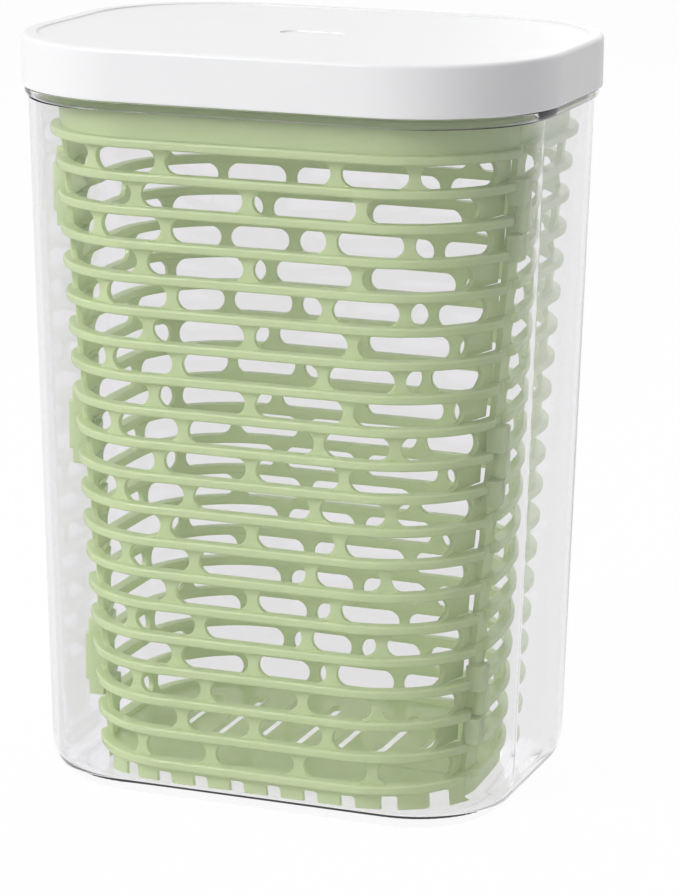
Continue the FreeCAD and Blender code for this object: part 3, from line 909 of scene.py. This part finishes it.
def clear_plastic():
    """Water-clear hard plastic with a cool cast."""
    material, shader = plastic("clear_plastic", CLEAR_COLOURS, (0.0, 0.008), 0.000002, (14.0, 300.0, 0.05))
    shader.inputs["Transmission Weight"].default_value = 1.0
    shader.inputs["IOR"].default_value = CLEAR_IOR
    let_lamps_through(material, shader.outputs["BSDF"], SHADOW_TINT)
    return material


def green_plastic():
    """Soft translucent green that glows where light passes through it."""
    material, shader = plastic("green_plastic", GREEN_COLOURS, (0.10, 0.18), 0.00001, (40.0, 1200.0, 0.25))
    shader.inputs["Transmission Weight"].default_value = GREEN_TRANSMISSION
    shader.inputs["IOR"].default_value = GREEN_IOR
    tree = material.node_tree
    glow = tree.nodes.new("ShaderNodeBsdfTranslucent")
    mix = tree.nodes.new("ShaderNodeMixShader")
    mix.inputs["Fac"].default_value = GREEN_GLOW_SHARE
    tree.links.new(shader.inputs["Base Color"].links[0].from_socket, glow.inputs["Color"])
    tree.links.new(shader.outputs["BSDF"], mix.inputs[1])
    tree.links.new(glow.outputs["BSDF"], mix.inputs[2])
    tree.links.new(mix.outputs["Shader"], tree.nodes["Material Output"].inputs["Surface"])
    return material


def white_plastic():
    """Satin white plastic of the lid."""
    material, shader = plastic("white_plastic", WHITE_COLOURS, (0.28, 0.40), 0.00003, (18.0, 1500.0, 0.3))
    shader.inputs["Subsurface Weight"].default_value = 0.15
    shader.inputs["Subsurface Radius"].default_value = (1.0, 1.0, 1.0)
    shader.inputs["Subsurface Scale"].default_value = 0.002
    return material


def seal_rubber():
    """Milky soft seal."""
    material, shader = plastic("seal_rubber", SEAL_COLOURS, (0.45, 0.6), 0.00004, (60.0, 2000.0, 0.5))
    shader.inputs["Subsurface Weight"].default_value = 0.3
    shader.inputs["Subsurface Scale"].default_value = 0.002
    return material


def seen_directly(tree):
    """A value that is 1 for what the camera sees directly, in a reflection or through clear plastic."""
    path = tree.nodes.new("ShaderNodeLightPath")
    seen = None
    for ray in ("Is Camera Ray", "Is Glossy Ray", "Is Transmission Ray"):
        if seen is None:
            seen = path.outputs[ray]
            continue
        either = tree.nodes.new("ShaderNodeMath")
        either.operation = "MAXIMUM"
        tree.links.new(seen, either.inputs[0])
        tree.links.new(path.outputs[ray], either.inputs[1])
        seen = either.outputs["Value"]
    return seen


def make_world():
    """Plain white surroundings that light the keeper evenly and softly."""
    world = bpy.data.worlds.new("studio")
    bpy.context.scene.world = world
    world.use_nodes = True
    tree = world.node_tree
    back = tree.nodes["Background"]
    mix = tree.nodes.new("ShaderNodeMix")
    mix.data_type = "RGBA"
    mix.inputs["A"].default_value = (*AMBIENT, 1.0)
    mix.inputs["B"].default_value = (1.0, 1.0, 1.0, 1.0)
    tree.links.new(seen_directly(tree), mix.inputs["Factor"])
    tree.links.new(mix.outputs["Result"], back.inputs["Color"])


def make_floor_stage():
    """A wide pale floor that takes the keeper's soft shadow."""
    reach = 12.0
    mesh = new_mesh("floor", [(-reach, -reach, -0.02), (reach, -reach, -0.02), (reach, reach, -0.02),
                              (-reach, reach, -0.02), (-reach, -reach, 0), (reach, -reach, 0),
                              (reach, reach, 0), (-reach, reach, 0)],
                    [(3, 2, 1, 0), (4, 5, 6, 7), (0, 1, 5, 4), (1, 2, 6, 5), (2, 3, 7, 6), (3, 0, 4, 7)])
    material, shader = plastic("pale_floor", FLOOR_COLOURS, (0.6, 0.7), 0.00002)
    shader.inputs["Specular IOR Level"].default_value = 0.1
    tree = material.node_tree
    paper = tree.nodes.new("ShaderNodeEmission")
    share = tree.nodes.new("ShaderNodeMath")
    share.operation = "MULTIPLY"
    share.inputs[1].default_value = PAPER_SHARE
    mix = tree.nodes.new("ShaderNodeMixShader")
    tree.links.new(seen_directly(tree), share.inputs[0])
    tree.links.new(share.outputs["Value"], mix.inputs["Fac"])
    tree.links.new(shader.outputs["BSDF"], mix.inputs[1])
    tree.links.new(paper.outputs["Emission"], mix.inputs[2])
    tree.links.new(mix.outputs["Shader"], tree.nodes["Material Output"].inputs["Surface"])
    mesh.materials.append(material)
    made = object_of(mesh, "studio_floor")


def area_lamp(name, place, aim, size, power):
    """A soft white lamp with a rectangular face."""
    light = bpy.data.lights.new(name, "AREA")
    light.shape = "RECTANGLE"
    light.size, light.size_y = size
    light.energy = power
    made = bpy.data.objects.new(name, light)
    bpy.context.scene.collection.objects.link(made)
    made.location = place
    made.rotation_mode = "QUATERNION"
    made.rotation_quaternion = (Vector(aim) - Vector(place)).to_track_quat("-Z", "Y")


def make_lamps():
    """Soft light from the front left and above, and a weak one from behind."""
    middle = (0.0, 0.0, 0.12)
    area_lamp("key", (-0.9, -1.2, 1.0), middle, (0.7, 0.7), KEY_POWER)
    area_lamp("top", (0.1, 0.2, 1.6), middle, (1.2, 1.2), TOP_POWER)
    area_lamp("back", (0.2, 1.4, 0.8), middle, (1.4, 1.0), BACK_POWER)


def make_camera():
    """The camera at the photograph's place and angle."""
    azimuth = math.radians(CAMERA_AZIMUTH)
    elevation = math.radians(CAMERA_ELEVATION)
    roll = math.radians(CAMERA_ROLL)
    back = Vector((math.sin(azimuth) * math.cos(elevation), -math.cos(azimuth) * math.cos(elevation),
                   math.sin(elevation)))
    level = Vector((math.cos(azimuth), math.sin(azimuth), 0))
    upright = back.cross(level)
    right = level * math.cos(roll) + upright * math.sin(roll)
    up = upright * math.cos(roll) - level * math.sin(roll)
    data = bpy.data.cameras.new("camera")
    data.sensor_width = SENSOR
    data.lens = FOCAL_PIXELS * SENSOR / PICTURE_HEIGHT
    data.shift_x = (PICTURE_WIDTH / 2 - AXIS_X) / PICTURE_HEIGHT
    data.shift_y = (AXIS_Y - PICTURE_HEIGHT / 2) / PICTURE_HEIGHT
    made = bpy.data.objects.new("camera", data)
    bpy.context.scene.collection.objects.link(made)
    turn = Matrix((right, up, back)).transposed().to_4x4()
    made.matrix_world = Matrix.Translation(CAMERA_TARGET + back * CAMERA_DISTANCE) @ turn
    bpy.context.scene.camera = made


make_camera()
make_world()
make_floor_stage()
make_lamps()

green = green_plastic()
finished(make_container(), "clear_vessel", "container", "container", clear_plastic())
finished(make_lid(), "white_cap", "lid", "lid", white_plastic())
finished(make_basket_side(True), "green_basket", "basket", "basket", green)
finished(make_basket_side(False), "green_door", "basket_door", "basket_door", green)
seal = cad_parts["lid_seal"]
seal.data.materials.clear()
seal.data.materials.append(seal_rubber())

bpy.context.scene.view_settings.view_transform = "Standard"
bpy.context.scene.cycles.diffuse_bounces = DIFFUSE_BOUNCES
bpy.context.scene.cycles.transmission_bounces = CLEAR_BOUNCES
bpy.context.scene.cycles.max_bounces = CLEAR_BOUNCES
